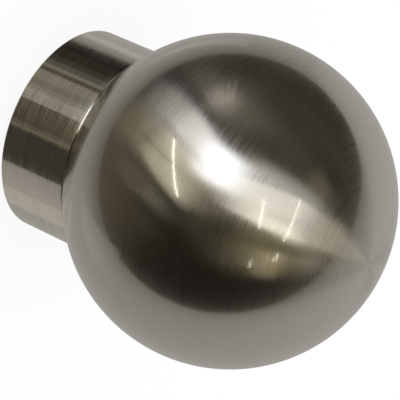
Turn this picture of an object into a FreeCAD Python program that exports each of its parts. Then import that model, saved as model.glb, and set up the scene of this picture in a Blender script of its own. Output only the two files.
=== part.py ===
import FreeCAD, Part
import math
import os

# Ball finial for a metal curtain pole, in millimetres.
# The origin is the centre of the collar's open rim, and +Z runs along the pole's axis to the ball.

# Collar, a cup that slips over the end of the pole
pole_diameter = 28.0
pole_clearance = 0.15           # all round, between the pole and the socket
collar_wall = 2.05
socket_depth = 9.2
web_thickness = 3.0             # the closed front that the ball sits on
mouth_chamfer = 0.5             # lead-in for the pole
rim_chamfer = 0.3               # outer edge at the open rim
shoulder_round = 0.2            # outer edge beside the ball

# Ball, a hollow shell with a flat base and a tapped boss welded in
ball_diameter = 50.0
ball_wall = 1.2
base_thickness = 2.0
boss_diameter = 11.0
boss_height = 10.5              # from the flat to the boss's inner end

# Fixing screw, countersunk in the socket's floor
screw_diameter = 5.0
screw_length = 12.0
screw_head_diameter = 9.2
screw_head_land = 0.3           # straight edge of the head
screw_head_sink = 0.2           # depth of the head below the socket's floor
screw_point_chamfer = 0.6
screw_hole_clearance = 0.25     # all round the shank, in the collar
recess_span = 4.8               # cross recess, tip to tip at the head's face
recess_floor_span = 2.0         # and at its floor
recess_slot = 1.0
recess_depth = 2.4

# Grub screw, in the collar's wall
grub_diameter = 3.0
grub_length = 2.0
grub_setback = 0.03             # inner end's distance from the socket
grub_end_chamfer = 0.3
hex_across_flats = 1.5
hex_depth = 1.0

thread_clearance = 0.05         # all round, between a screw and its tapped hole
overcut = 1.0                   # how far a cutting tool runs past the face that it cuts

# Directions, heights and radii that follow from them
axis = FreeCAD.Vector(0, 0, 1)
grub_direction = FreeCAD.Vector(0, 1, 0)
socket_radius = pole_diameter / 2 + pole_clearance
collar_radius = socket_radius + collar_wall
seat_height = socket_depth + web_thickness
ball_radius = ball_diameter / 2
ball_centre = seat_height + math.sqrt(ball_radius ** 2 - collar_radius ** 2)
screw_radius = screw_diameter / 2
head_radius = screw_head_diameter / 2
head_face = socket_depth + screw_head_sink
cone_start = head_face + screw_head_land
grub_height = socket_depth / 2


def point(radius, height):
    """Point of a turned profile."""
    return FreeCAD.Vector(radius, 0, height)


def straight(*corners):
    """Straight edges of a profile, through (radius, height) corners."""
    points = [point(*corner) for corner in corners]
    return [Part.LineSegment(start, end).toShape() for start, end in zip(points, points[1:])]


def bowed(start, middle, end):
    """Round edge of a profile, through three (radius, height) points."""
    return [Part.Arc(point(*start), point(*middle), point(*end)).toShape()]


def turned(edges):
    """Solid of a closed profile turned about the axis."""
    profile = Part.Face(Part.Wire(Part.sortEdges(edges)[0]))
    return profile.revolve(FreeCAD.Vector(), axis, 360)


def countersunk_hole():
    """Tool that cuts the fixing screw's hole, with the cone that its head sits on."""
    hole_radius = screw_radius + screw_hole_clearance
    tool_start = socket_depth - overcut
    tool_end = seat_height + overcut
    return turned(straight(
        (0, tool_start),
        (head_radius + cone_start - tool_start, tool_start),
        (hole_radius, cone_start + head_radius - hole_radius),
        (hole_radius, tool_end),
        (0, tool_end),
        (0, tool_start),
    ))


def make_collar():
    """Cup with a socket for the pole, a countersunk screw hole and a tapped hole in its wall."""
    shoulder_start = (collar_radius, seat_height - shoulder_round)
    shoulder_end = (collar_radius - shoulder_round, seat_height)
    shoulder_inset = shoulder_round * (1 - math.sqrt(0.5))
    shoulder_middle = (collar_radius - shoulder_inset, seat_height - shoulder_inset)
    cup = turned(
        straight(
            shoulder_end,
            (0, seat_height),
            (0, socket_depth),
            (socket_radius, socket_depth),
            (socket_radius, mouth_chamfer),
            (socket_radius + mouth_chamfer, 0),
            (collar_radius - rim_chamfer, 0),
            (collar_radius, rim_chamfer),
            shoulder_start,
        )
        + bowed(shoulder_start, shoulder_middle, shoulder_end)
    )
    grub_hole = Part.makeCylinder(
        grub_diameter / 2 + thread_clearance,
        collar_radius + overcut,
        axis * grub_height,
        grub_direction,
    )
    return cup.cut(countersunk_hole()).cut(grub_hole)


def make_ball():
    """Hollow ball, cut flat where its section is as wide as the collar, with a tapped boss."""
    cavity_radius = ball_radius - ball_wall
    base_height = seat_height + base_thickness
    base_radius = math.sqrt(cavity_radius ** 2 - (ball_centre - base_height) ** 2)
    boss_radius = boss_diameter / 2
    boss_end = seat_height + boss_height
    tapped_radius = screw_radius + thread_clearance
    seat_edge = (collar_radius, seat_height)
    ball_top = (0, ball_centre + ball_radius)
    cavity_top = (0, ball_centre + cavity_radius)
    base_edge = (base_radius, base_height)
    return turned(
        bowed(seat_edge, (ball_radius, ball_centre), ball_top)
        + straight(ball_top, cavity_top)
        + bowed(cavity_top, (cavity_radius, ball_centre), base_edge)
        + straight(
            base_edge,
            (boss_radius, base_height),
            (boss_radius, boss_end),
            (tapped_radius, boss_end),
            (tapped_radius, seat_height),
            seat_edge,
        )
    )


def recess_arm():
    """Tool that cuts one tapered slot of the cross recess in the fixing screw's head."""
    taper = (recess_span - recess_floor_span) / 2 / recess_depth
    tool_start = head_face - overcut
    recess_floor = head_face + recess_depth
    start_reach = recess_span / 2 + taper * overcut
    floor_reach = recess_floor_span / 2
    side = Part.Face(Part.Wire(straight(
        (-start_reach, tool_start),
        (start_reach, tool_start),
        (floor_reach, recess_floor),
        (-floor_reach, recess_floor),
        (-start_reach, tool_start),
    )))
    arm = side.extrude(FreeCAD.Vector(0, recess_slot, 0))
    arm.translate(FreeCAD.Vector(0, -recess_slot / 2, 0))
    return arm


def make_fixing_screw():
    """Countersunk screw from the socket's floor into the ball's boss."""
    screw_end = head_face + screw_length
    blank = turned(straight(
        (0, head_face),
        (head_radius, head_face),
        (head_radius, cone_start),
        (screw_radius, cone_start + head_radius - screw_radius),
        (screw_radius, screw_end - screw_point_chamfer),
        (screw_radius - screw_point_chamfer, screw_end),
        (0, screw_end),
        (0, head_face),
    ))
    first_arm = recess_arm()
    second_arm = recess_arm()
    second_arm.rotate(FreeCAD.Vector(), axis, 90)
    return blank.cut(first_arm.fuse(second_arm))


def make_grub_screw():
    """Set screw in the collar's wall, with its hexagon socket facing out."""
    grub_radius = grub_diameter / 2
    blank = turned(straight(
        (0, 0),
        (grub_radius - grub_end_chamfer, 0),
        (grub_radius, grub_end_chamfer),
        (grub_radius, grub_length - grub_end_chamfer),
        (grub_radius - grub_end_chamfer, grub_length),
        (0, grub_length),
        (0, 0),
    ))
    first_corner = FreeCAD.Vector(hex_across_flats / math.sqrt(3), 0, grub_length - hex_depth)
    hexagon = [FreeCAD.Rotation(axis, 60 * side).multVec(first_corner) for side in range(7)]
    socket = Part.Face(Part.makePolygon(hexagon)).extrude(axis * (hex_depth + overcut))
    screw = blank.cut(socket)
    inner_end = axis * grub_height + grub_direction * (socket_radius + grub_setback)
    screw.Placement = FreeCAD.Placement(inner_end, FreeCAD.Rotation(axis, grub_direction))
    return screw


parts = {
    "collar": make_collar(),
    "ball": make_ball(),
    "fixing_screw": make_fixing_screw(),
    "grub_screw": make_grub_screw(),
}

os.makedirs("parts", exist_ok=True)
for name, shape in parts.items():
    shape.exportStep("parts/" + name + ".step")
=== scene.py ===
import math

import bpy
from mathutils import Matrix, Vector


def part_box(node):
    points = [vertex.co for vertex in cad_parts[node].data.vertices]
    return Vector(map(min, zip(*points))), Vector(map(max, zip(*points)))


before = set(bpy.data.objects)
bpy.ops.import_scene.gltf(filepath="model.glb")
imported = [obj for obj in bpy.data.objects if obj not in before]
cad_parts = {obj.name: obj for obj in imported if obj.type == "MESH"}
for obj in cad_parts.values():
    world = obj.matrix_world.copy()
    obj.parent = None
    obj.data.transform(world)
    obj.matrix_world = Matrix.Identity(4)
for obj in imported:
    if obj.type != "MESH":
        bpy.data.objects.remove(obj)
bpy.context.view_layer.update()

# Sizes in metres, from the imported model
BALL_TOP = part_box("ball")[1]
BALL_RADIUS = BALL_TOP.x
BALL_CENTRE = Vector((0, 0, BALL_TOP.z - BALL_RADIUS))
COLLAR_MIDDLE = Vector((0, 0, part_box("collar")[1].z / 2))

# Camera, at the photograph's viewing angle
IMAGE_SIDE = 400
LENS_MM = 202.5
SENSOR_MM = 36.0
CAMERA_ELEVATION = math.radians(29.75)
CAMERA_ROLL = math.radians(114.48)
BALL_DEPTH = 0.3348
BALL_PIXEL = (230.0, 201.15)

# Nickel, brushed round the axis; starts and ends are distances along the ball's surface from its top
NICKEL = (0.66, 0.61, 0.53)
STREAK_LENGTH = 0.006
STREAK_HEIGHT = 2e-8
STREAK_TONE_RANGE = (0.35, 0.65)        # of the streaks' noise, from dull to bright
STREAK_ROUGHNESS_RANGE = (0.38, 0.50)   # of the streaks' noise, from smooth to rough
BRUSH_TURN = 0.25                       # of a whole turn
SLANT = math.radians(-22)
SLANT_START = 0.024
SLANT_END = 0.036
POLISH_START = 0.040
POLISH_END = 0.052
POLISH = 0.55
LACQUER_ROUGHNESS = 0.08
LACQUER_IOR = 1.9

# Zinc plate
ZINC_DULL = (0.5, 0.5, 0.49)
ZINC_BRIGHT = (0.68, 0.68, 0.66)
ZINC_ROUGHNESS = (0.28, 0.42)
ZINC_GRAIN_SCALE = 900.0
ZINC_GRAIN_HEIGHT = 4e-6
ZINC_GRAIN_RANGE = (0.3, 0.7)           # of the grain's noise, from smooth to rough

# Floor
FLOOR_HALF_SIDE = 3.0
FLOOR_OWN_LIGHT = 0.88

# Studio: the finial lies on a white sheet under a dark ceiling with tube lamps
CEILING = Vector((-0.370, -0.877, 0.307)).normalized()
ACROSS = Vector((0.929, -0.349, 0.122)).normalized()
ALONG = CEILING.cross(ACROSS)
CEILING_HEIGHT = 1.5
ROOM_GLOW = (0.013, 0.012, 0.010)
LEAST_AHEAD = 0.001                     # keeps directions behind a patch out of it

# Oval sheet, brightest at one place beside the ball
SHEET_UP = Vector((-0.274, -0.901, 0.337)).normalized()
SHEET_HALF_LENGTH = 0.40
SHEET_HALF_WIDTH = 0.25
SHEET_CORNERS = 96
SHEET_DROP = 0.0259
SHEET_GLOW = (0.455, 0.445, 0.425)
SHEET_RIM_GLOW = (0.203, 0.193, 0.178)
SHEET_FADE = 0.28
SHEET_BRIGHT_SIDE = Vector((-0.036, 0.023, 0.055))

# Cards on each side of the collar: name, first, last and brightest azimuth in degrees, and fade
SIDE_CARD_DISTANCE = 0.075
SIDE_CARD_LOW = -62                     # elevations in degrees
SIDE_CARD_MIDDLE = -36
SIDE_CARD_HIGH = -10
SIDE_CARD_GAIN = 1.08                   # of the sheet's light
SIDE_CARDS = [
    ("lower_card", 55, 100, 100, SHEET_FADE / 4),
    ("upper_card", -150, -104, -104, SHEET_FADE),
]

# Cards close to the collar: first and last azimuth that its side mirrors, in degrees, and light
COLLAR_CARD_RADIUS = 0.020
COLLAR_CARD_HEIGHTS = (-0.006, 0.010)
COLLAR_CARD_TURN = 0.6                  # of the mirrored azimuth, to where the card stands
COLLAR_CARDS = [
    (-84, -71, (0.027, 0.025, 0.020)),
    (-71, -63, (0.052, 0.048, 0.040)),
    (-63, -56, (0.105, 0.100, 0.085)),
    (-56, -52, (0.215, 0.205, 0.175)),
    (-52, -47, (0.085, 0.078, 0.052)),
    (-47, -35, (0.235, 0.225, 0.19)),
    (-35, -28, (0.19, 0.18, 0.155)),
    (-28, -10, (0.235, 0.225, 0.195)),
    (-10, 14, (0.079, 0.072, 0.048)),
    (23, 58, (0.048, 0.044, 0.036)),
    (96, 128, (0.45, 0.437, 0.41)),
]


def overhead(across, along):
    """Direction of a place on the ceiling, in ceiling heights across and along from above the ball."""
    return CEILING + ACROSS * across + ALONG * along


def level(azimuth, elevation):
    """Direction at an azimuth from -Y towards +X and at an elevation, in degrees."""
    turn = math.radians(azimuth)
    rise = math.radians(elevation)
    return Vector((math.sin(turn) * math.cos(rise), -math.cos(turn) * math.cos(rise), math.sin(rise)))


# Tube lamps: start, end and radiance
TUBE_WIDTH = 0.024
TUBE_COLOUR = (1.0, 0.97, 0.86)
TUBE_WATTS = 4                          # for each square metre, at a radiance of 1
TUBES = [
    (overhead(-0.09, -0.90), overhead(0.69, -0.51), 8),
    (overhead(0.17, 0.56), overhead(0.60, 0.79), 6),
    (overhead(-0.20, 1.18), overhead(0.69, 1.63), 6),
    (overhead(1.54, 1.33), overhead(2.10, 1.67), 8),
    (overhead(1.16, 1.97), overhead(1.63, 2.27), 8),
]

# Lit patches of the room: start, end, width, softness of the ends and of the sides, and light
ROOM_PATCHES = [
    # white lamp, and the pale wall beyond it
    (overhead(0.11, 0.13), overhead(0.03, -0.34), 0.42, 1.0, 0.43, (2.5, 2.65, 3.0)),
    (overhead(-0.04, -0.25), overhead(-0.50, -0.98), 0.29, 0.6, 0.3, (0.82, 0.83, 0.86)),
    (overhead(-0.50, -1.00), overhead(-1.8, -3.6), 0.30, 0.9, 0.4, (0.185, 0.183, 0.175)),
    # ceiling lit by the tubes
    (overhead(0.52, -0.28), overhead(-0.10, -1.31), 0.50, 0.45, 0.12, (0.55, 0.52, 0.41)),
    (overhead(0.28, 0.17), overhead(0.15, 2.1), 0.46, 0.45, 0.15, (0.98, 0.98, 0.93)),
    (overhead(0.46, 0.60), overhead(0.72, 2.80), 0.14, 0.6, 0.5, (0.46, 0.45, 0.39)),
    (overhead(-0.10, 0.15), overhead(-0.36, 2.15), 0.18, 0.5, 0.9, (0.43, 0.44, 0.425)),
    (overhead(0.02, 2.40), Vector((-0.05, 0.51, 0.86)), 0.29, 0.6, 0.4, (0.28, 0.257, 0.195)),
    (overhead(1.74, 1.60), overhead(2.26, 3.40), 0.30, 0.6, 0.4, (0.40, 0.345, 0.215)),
    (overhead(0.92, 0.62), overhead(1.16, 3.20), 0.44, 0.7, 0.6, (0.172, 0.157, 0.09)),
    # seams of the ceiling
    (overhead(0.30, -0.60), overhead(-0.06, -1.80), 0.02, 0.3, 0.5, (-0.45, -0.43, -0.34)),
    (overhead(0.33, 0.90), overhead(0.10, 2.20), 0.035, 0.3, 0.6, (-0.30, -0.29, -0.24)),
    # soft right shoulder of the band
    (Vector((-0.57, -0.12, 0.81)), Vector((-0.34, 0.03, 0.94)), 0.26, 0.6, 0.9, (0.205, 0.19, 0.135)),
    # dark low wall
    (Vector((-0.86, 0.02, -0.50)), Vector((-0.66, 0.42, 0.62)), 0.36, 0.3, 0.15, (-0.014, -0.012, -0.010)),
    # dim sides of the room
    (level(11, -55), level(11, -18), 0.16, 0.5, 0.6, (0.050, 0.046, 0.034)),
    (Vector((0.24, -0.84, -0.48)), Vector((0.37, -0.91, -0.16)), 0.16, 0.7, 0.8, (0.17, 0.16, 0.13)),
    (Vector((0.40, -0.84, -0.36)), Vector((0.64, -0.72, -0.27)), 0.30, 0.8, 0.8, (0.028, 0.025, 0.019)),
    (Vector((-0.22, -0.64, -0.74)), Vector((-0.40, -0.54, -0.74)), 0.20, 0.8, 0.8, (0.11, 0.107, 0.09)),
    (Vector((-0.29, -0.10, -0.95)), Vector((-0.20, -0.55, -0.81)), 0.30, 0.7, 0.8, (0.09, 0.083, 0.06)),
    (Vector((0.12, 0.02, 0.99)), Vector((0.22, 0.28, 0.93)), 0.26, 0.7, 0.7, (0.24, 0.227, 0.187)),
    (Vector((-0.85, -0.36, -0.38)), Vector((-0.95, -0.30, 0.0)), 0.35, 0.6, 0.8, (0.06, 0.057, 0.05)),
    (Vector((-0.95, -0.15, -0.30)), Vector((-0.95, -0.15, 1.15)), 1.6, 0.5, 0.6, (0.042, 0.039, 0.032)),
    (Vector((-0.87, -0.48, -0.02)), Vector((-0.86, -0.42, 0.28)), 0.32, 0.8, 0.8, (0.05, 0.047, 0.034)),
    (Vector((-0.30, -0.50, -0.80)), Vector((0.75, -0.50, -0.60)), 0.80, 0.8, 0.8, (0.075, 0.063, 0.043)),
    # upper glow
    (Vector((-0.82, -0.51, -0.38)), Vector((-0.82, -0.51, -0.10)), 0.30, 0.8, 0.8, (0.36, 0.335, 0.31)),
    # bright line on the collar's side
    (level(19.5, -44), level(19.5, -24), 0.04, 0.4, 0.3, (0.09, 0.09, 0.075)),
]

# Fan of strokes in the upper glow: the ends of its foot and of its tip, and the strokes' places along them
FAN_FOOT = Vector((-0.76, -0.59, -0.28)), Vector((-0.85, -0.51, -0.14))
FAN_TIP = Vector((-0.79, -0.41, -0.46)), Vector((-0.93, -0.22, -0.30))
FAN_STROKES = (0.0, 0.2, 0.38, 0.55, 0.8, 1.0)
FAN_WIDTH = 0.02
FAN_END_SOFTNESS = 0.6
FAN_SIDE_SOFTNESS = 0.5
FAN_LIGHT = (0.42, 0.39, 0.37)
for stroke in FAN_STROKES:
    foot = FAN_FOOT[0].lerp(FAN_FOOT[1], stroke)
    tip = FAN_TIP[0].lerp(FAN_TIP[1], stroke)
    ROOM_PATCHES.append((foot, tip, FAN_WIDTH, FAN_END_SOFTNESS, FAN_SIDE_SOFTNESS, FAN_LIGHT))


def new_material(name):
    """Material with an empty node tree, and that tree."""
    material = bpy.data.materials.new(name)
    material.use_nodes = True
    material.node_tree.nodes.clear()
    return material, material.node_tree


def add(tree, kind, inputs=None, **settings):
    """Node of a kind, with its settings and its inputs' values or links."""
    node = tree.nodes.new(kind)
    for name, value in settings.items():
        setattr(node, name, value)
    for name, value in (inputs or {}).items():
        socket = node.inputs[name]
        if isinstance(value, bpy.types.NodeSocket):
            tree.links.new(value, socket)
        else:
            socket.default_value = value
    return node


def math_node(tree, operation, first, second=0.0):
    """Result of an operation on two numbers."""
    return add(tree, "ShaderNodeMath", {0: first, 1: second}, operation=operation).outputs[0]


def vector_node(tree, operation, inputs):
    """Result of an operation on vectors, a number for a length, a distance or a dot product."""
    node = add(tree, "ShaderNodeVectorMath", inputs, operation=operation)
    gives_number = operation in ("LENGTH", "DISTANCE", "DOT_PRODUCT")
    return node.outputs["Value" if gives_number else "Vector"]


def ranged(tree, value, low, high, from_low=0.0, from_high=1.0, curve="LINEAR"):
    """Value moved from one range to another."""
    ends = {"From Min": from_low, "From Max": from_high, "To Min": low, "To Max": high}
    node = add(tree, "ShaderNodeMapRange", {"Value": value, **ends}, interpolation_type=curve)
    return node.outputs["Result"]


def noise(tree, where, scale, detail, roughness):
    """Cloudy noise from 0 to 1."""
    inputs = {"Vector": where, "Scale": scale, "Detail": detail, "Roughness": roughness}
    return add(tree, "ShaderNodeTexNoise", inputs).outputs["Fac"]


def bumped(tree, height, distance):
    """Normal of a surface with small heights."""
    inputs = {"Strength": 1.0, "Distance": distance, "Height": height}
    return add(tree, "ShaderNodeBump", inputs).outputs["Normal"]


def tinted(tree, factor, first, second):
    """Colour between two others."""
    mix = add(tree, "ShaderNodeMix", {"Factor": factor}, data_type="RGBA")
    mix.inputs["A"].default_value = (*first, 1)
    mix.inputs["B"].default_value = (*second, 1)
    return mix.outputs["Result"]


def slanted(tree, tangent, along):
    """Tangent of the ball's brush marks, which lean over away from its top."""
    normal = add(tree, "ShaderNodeNewGeometry").outputs["Normal"]
    sideways = vector_node(tree, "CROSS_PRODUCT", {0: normal, 1: tangent})
    slant = ranged(tree, along, 0.0, math.tan(SLANT), SLANT_START, SLANT_END, "SMOOTHSTEP")
    tilt = vector_node(tree, "SCALE", {0: sideways, "Scale": slant})
    return vector_node(tree, "ADD", {0: tangent, 1: tilt})


def brushed_nickel(name, round_ball, spacing, smooth, rough, tone, contrast):
    """Nickel plate brushed round the axis, under clear lacquer."""
    material, tree = new_material(name)
    where = add(tree, "ShaderNodeTexCoord").outputs["Object"]
    x, y, z = add(tree, "ShaderNodeSeparateXYZ", {0: where}).outputs
    if round_ball:
        rise = math_node(tree, "DIVIDE", math_node(tree, "SUBTRACT", z, BALL_CENTRE.z), BALL_RADIUS)
        along = math_node(tree, "MULTIPLY", math_node(tree, "ARCCOSINE", rise), BALL_RADIUS)
    else:
        flat = add(tree, "ShaderNodeCombineXYZ", {0: x, 1: y}).outputs[0]
        along = math_node(tree, "ADD", z, vector_node(tree, "LENGTH", {0: flat}))
    stroke_place = add(tree, "ShaderNodeCombineXYZ", {
        0: math_node(tree, "DIVIDE", x, STREAK_LENGTH),
        1: math_node(tree, "DIVIDE", y, STREAK_LENGTH),
        2: math_node(tree, "DIVIDE", along, spacing),
    }).outputs[0]
    streaks = noise(tree, stroke_place, scale=1.0, detail=2.0, roughness=0.55)
    tangent = add(tree, "ShaderNodeTangent", direction_type="RADIAL", axis="Z").outputs["Tangent"]
    roughness = ranged(tree, streaks, smooth, rough, *STREAK_ROUGHNESS_RANGE)
    if round_ball:
        tangent = slanted(tree, tangent, along)
        polish = ranged(tree, along, 1.0, POLISH, POLISH_START, POLISH_END, "SMOOTHSTEP")
        roughness = math_node(tree, "MULTIPLY", roughness, polish)
    dull = tuple((1 - contrast) * tone * value for value in NICKEL)
    bright = tuple((1 + contrast) * tone * value for value in NICKEL)
    shader = add(tree, "ShaderNodeBsdfPrincipled", {
        "Base Color": tinted(tree, ranged(tree, streaks, 0.0, 1.0, *STREAK_TONE_RANGE), dull, bright),
        "Metallic": 1.0,
        "Roughness": roughness,
        "Normal": bumped(tree, streaks, STREAK_HEIGHT),
        "Anisotropic": 1.0,
        "Anisotropic Rotation": BRUSH_TURN,
        "Tangent": tangent,
        "Coat Weight": 1.0,
        "Coat Roughness": LACQUER_ROUGHNESS,
        "Coat IOR": LACQUER_IOR,
    })
    add(tree, "ShaderNodeOutputMaterial", {"Surface": shader.outputs["BSDF"]})
    return material


def zinc_plate():
    """Zinc-plated steel of the screws."""
    material, tree = new_material("zinc_plate")
    where = add(tree, "ShaderNodeTexCoord").outputs["Object"]
    grain = noise(tree, where, scale=ZINC_GRAIN_SCALE, detail=3.0, roughness=0.6)
    shader = add(tree, "ShaderNodeBsdfPrincipled", {
        "Base Color": tinted(tree, grain, ZINC_DULL, ZINC_BRIGHT),
        "Metallic": 1.0,
        "Roughness": ranged(tree, grain, *ZINC_ROUGHNESS, *ZINC_GRAIN_RANGE),
        "Normal": bumped(tree, grain, ZINC_GRAIN_HEIGHT),
    })
    add(tree, "ShaderNodeOutputMaterial", {"Surface": shader.outputs["BSDF"]})
    return material


def one_sided(tree, front):
    """Output of a surface that has a front and is clear from behind."""
    behind = add(tree, "ShaderNodeNewGeometry").outputs["Backfacing"]
    clear = add(tree, "ShaderNodeBsdfTransparent")
    both = add(tree, "ShaderNodeMixShader", {0: behind, 1: front, 2: clear.outputs[0]})
    add(tree, "ShaderNodeOutputMaterial", {"Surface": both.outputs[0]})


def white_floor():
    """White table that keeps the soft shadow and can be looked through from below."""
    material, tree = new_material("white_floor")
    lit = add(tree, "ShaderNodeBsdfDiffuse", {"Color": (1, 1, 1, 1)})
    plain = add(tree, "ShaderNodeEmission", {"Color": (1, 1, 1, 1), "Strength": 1.0})
    camera_ray = add(tree, "ShaderNodeLightPath").outputs["Is Camera Ray"]
    own_light = math_node(tree, "MULTIPLY", camera_ray, FLOOR_OWN_LIGHT)
    white = add(tree, "ShaderNodeMixShader", {0: own_light, 1: lit.outputs[0], 2: plain.outputs[0]})
    one_sided(tree, white.outputs[0])
    return material


def flat_piece(name, corners, material):
    """Flat piece of the studio, which throws no shadow."""
    mesh = bpy.data.meshes.new(name)
    mesh.from_pydata(corners, [], [tuple(range(len(corners)))])
    mesh.materials.append(material)
    piece = bpy.data.objects.new(name, mesh)
    piece.visible_shadow = False
    bpy.context.scene.collection.objects.link(piece)
    return piece


def glow(tree, way, start, end, width, end_softness, side_softness, colour):
    """Light of a patch of the room between two directions."""
    first = start.normalized()
    last = end.normalized()
    middle = (first + last).normalized()
    run = (last - first).normalized()
    reach = (last - first).length / (first + last).length
    ahead = math_node(tree, "MAXIMUM", vector_node(tree, "DOT_PRODUCT", {0: way, 1: middle}), LEAST_AHEAD)
    fades = []
    for axis, half, softness in ((run, reach, end_softness), (middle.cross(run), width / 2, side_softness)):
        off = vector_node(tree, "DOT_PRODUCT", {0: way, 1: axis})
        distance = math_node(tree, "ABSOLUTE", math_node(tree, "DIVIDE", off, ahead))
        outer = half * (1 + softness)
        inner = half * (1 - softness)
        fades.append(ranged(tree, distance, 0.0, 1.0, outer, inner, "SMOOTHSTEP"))
    return vector_node(tree, "SCALE", {0: colour, "Scale": math_node(tree, "MULTIPLY", *fades)})


def studio_world():
    """Dark room with soft glows, which the metal mirrors, and plain white to the camera."""
    world = bpy.data.worlds.new("studio")
    bpy.context.scene.world = world
    world.use_nodes = True
    tree = world.node_tree
    tree.nodes.clear()
    way = add(tree, "ShaderNodeTexCoord").outputs["Generated"]
    light = add(tree, "ShaderNodeCombineXYZ", dict(enumerate(ROOM_GLOW))).outputs[0]
    for patch in ROOM_PATCHES:
        light = vector_node(tree, "ADD", {0: light, 1: glow(tree, way, *patch)})
    light = vector_node(tree, "MAXIMUM", {0: light, 1: (0, 0, 0)})
    room = add(tree, "ShaderNodeBackground", {"Color": light})
    white = add(tree, "ShaderNodeBackground", {"Color": (1, 1, 1, 1)})
    path = add(tree, "ShaderNodeLightPath")
    plain = math_node(tree, "MAXIMUM", path.outputs["Is Camera Ray"], path.outputs["Is Diffuse Ray"])
    seen = add(tree, "ShaderNodeMixShader", {0: plain, 1: room.outputs[0], 2: white.outputs[0]})
    world.cycles.sampling_method = "NONE"
    add(tree, "ShaderNodeOutputWorld", {"Surface": seen.outputs[0]})


def mirrored_card(name, corners, near_light, far_light, bright, fade):
    """Card seen only in the metal and from its front, with a light that changes away from one place."""
    material, tree = new_material(name)
    where = add(tree, "ShaderNodeNewGeometry").outputs["Position"]
    shade = ranged(tree, vector_node(tree, "DISTANCE", {0: where, 1: bright}), 0.0, 1.0, 0.0, fade)
    colour = tinted(tree, shade, near_light, far_light)
    light = add(tree, "ShaderNodeEmission", {"Color": colour, "Strength": 1.0})
    one_sided(tree, light.outputs[0])
    material.cycles.emission_sampling = "NONE"
    card = flat_piece(name, corners, material)
    card.visible_camera = False
    card.visible_diffuse = False


def white_sheet():
    """Oval sheet under the ball as it lies."""
    middle = BALL_CENTRE - SHEET_UP * SHEET_DROP
    sideways = SHEET_UP.cross(Vector((0, 0, 1))).normalized() * SHEET_HALF_WIDTH
    lengthways = sideways.cross(SHEET_UP).normalized() * SHEET_HALF_LENGTH
    turns = [2 * math.pi * corner / SHEET_CORNERS for corner in range(SHEET_CORNERS)]
    corners = [middle + lengthways * math.cos(turn) + sideways * math.sin(turn) for turn in turns]
    mirrored_card("sheet", corners, SHEET_GLOW, SHEET_RIM_GLOW, middle + SHEET_BRIGHT_SIDE, SHEET_FADE)


def side_cards():
    """Small card on each side of the collar."""
    near_light = tuple(SIDE_CARD_GAIN * value for value in SHEET_GLOW)
    far_light = tuple(SIDE_CARD_GAIN * value for value in SHEET_RIM_GLOW)
    for name, first, last, brightest, fade in SIDE_CARDS:
        outline = (
            (first, SIDE_CARD_LOW),
            (first, SIDE_CARD_HIGH),
            (last, SIDE_CARD_HIGH),
            (last, SIDE_CARD_LOW),
        )
        corners = [COLLAR_MIDDLE + level(*corner) * SIDE_CARD_DISTANCE for corner in outline]
        bright = COLLAR_MIDDLE + level(brightest, SIDE_CARD_MIDDLE) * SIDE_CARD_DISTANCE
        mirrored_card(name, corners, near_light, far_light, bright, fade)


def collar_cards():
    """Narrow cards close to the collar, side by side, each with one light all over."""
    low, high = (Vector((0, 0, height)) for height in COLLAR_CARD_HEIGHTS)
    for number, (first, last, light) in enumerate(COLLAR_CARDS, 1):
        start = level(first * COLLAR_CARD_TURN, 0) * COLLAR_CARD_RADIUS
        end = level(last * COLLAR_CARD_TURN, 0) * COLLAR_CARD_RADIUS
        corners = [start + low, start + high, end + high, end + low]
        mirrored_card(f"collar_card_{number}", corners, light, light, bright=start, fade=1.0)


def tube(name, start, end, radiance):
    """Tube lamp between two places of the ceiling, facing the ball."""
    middle = (start + end) / 2 * CEILING_HEIGHT
    back = middle.normalized()
    run = (end - start) * CEILING_HEIGHT
    run -= back * run.dot(back)
    side = run.normalized()
    data = bpy.data.lights.new(name, "AREA")
    data.shape = "RECTANGLE"
    data.size = run.length
    data.size_y = TUBE_WIDTH
    data.color = TUBE_COLOUR
    data.energy = radiance * TUBE_WATTS * run.length * TUBE_WIDTH
    turn = Matrix((side, back.cross(side), back)).transposed().to_4x4()
    lamp = bpy.data.objects.new(name, data)
    lamp.matrix_world = Matrix.Translation(BALL_CENTRE + middle) @ turn
    lamp.visible_camera = False
    bpy.context.scene.collection.objects.link(lamp)


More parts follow.
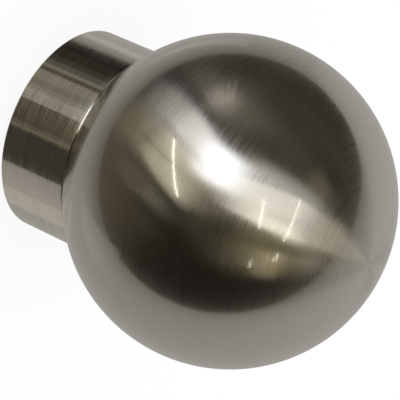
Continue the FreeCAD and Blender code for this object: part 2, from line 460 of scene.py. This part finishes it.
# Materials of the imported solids
ball_metal = brushed_nickel(
    "satin_nickel_ball",
    round_ball=True,
    spacing=0.00001,
    smooth=0.06,
    rough=0.30,
    tone=1.0,
    contrast=0.02,
)
collar_metal = brushed_nickel(
    "satin_nickel_collar",
    round_ball=False,
    spacing=0.00015,
    smooth=0.09,
    rough=0.18,
    tone=1.12,
    contrast=0.12,
)
zinc = zinc_plate()
finishes = {"ball": ball_metal, "collar": collar_metal, "fixing_screw": zinc, "grub_screw": zinc}
for node_name, finish in finishes.items():
    for material_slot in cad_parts[node_name].material_slots:
        material_slot.material = finish

# Floor
floor_signs = ((-1, -1), (1, -1), (1, 1), (-1, 1))
floor_corners = [(x * FLOOR_HALF_SIDE, y * FLOOR_HALF_SIDE, 0) for x, y in floor_signs]
floor = flat_piece("floor", floor_corners, white_floor())
floor.visible_glossy = False

# Lamps
studio_world()
white_sheet()
side_cards()
collar_cards()
for tube_number, tube_lamp in enumerate(TUBES, 1):
    tube(f"tube_{tube_number}", *tube_lamp)

# Camera
scene = bpy.context.scene
forward = Vector((0, math.cos(CAMERA_ELEVATION), -math.sin(CAMERA_ELEVATION)))
level_right = Vector((1, 0, 0))
level_up = level_right.cross(forward)
right = level_right * math.cos(CAMERA_ROLL) + level_up * math.sin(CAMERA_ROLL)
up = level_up * math.cos(CAMERA_ROLL) - level_right * math.sin(CAMERA_ROLL)
pixel_angle = SENSOR_MM / LENS_MM / IMAGE_SIDE
ball_right = (BALL_PIXEL[0] - IMAGE_SIDE / 2) * pixel_angle * BALL_DEPTH
ball_down = (BALL_PIXEL[1] - IMAGE_SIDE / 2) * pixel_angle * BALL_DEPTH
camera_data = bpy.data.cameras.new("camera")
camera_data.lens = LENS_MM
camera_data.sensor_width = SENSOR_MM
camera = bpy.data.objects.new("camera", camera_data)
camera_place = BALL_CENTRE - right * ball_right + up * ball_down - forward * BALL_DEPTH
camera.matrix_world = Matrix.Translation(camera_place) @ Matrix((right, up, -forward)).transposed().to_4x4()
scene.collection.objects.link(camera)
scene.camera = camera
scene.view_settings.view_transform = "Standard"
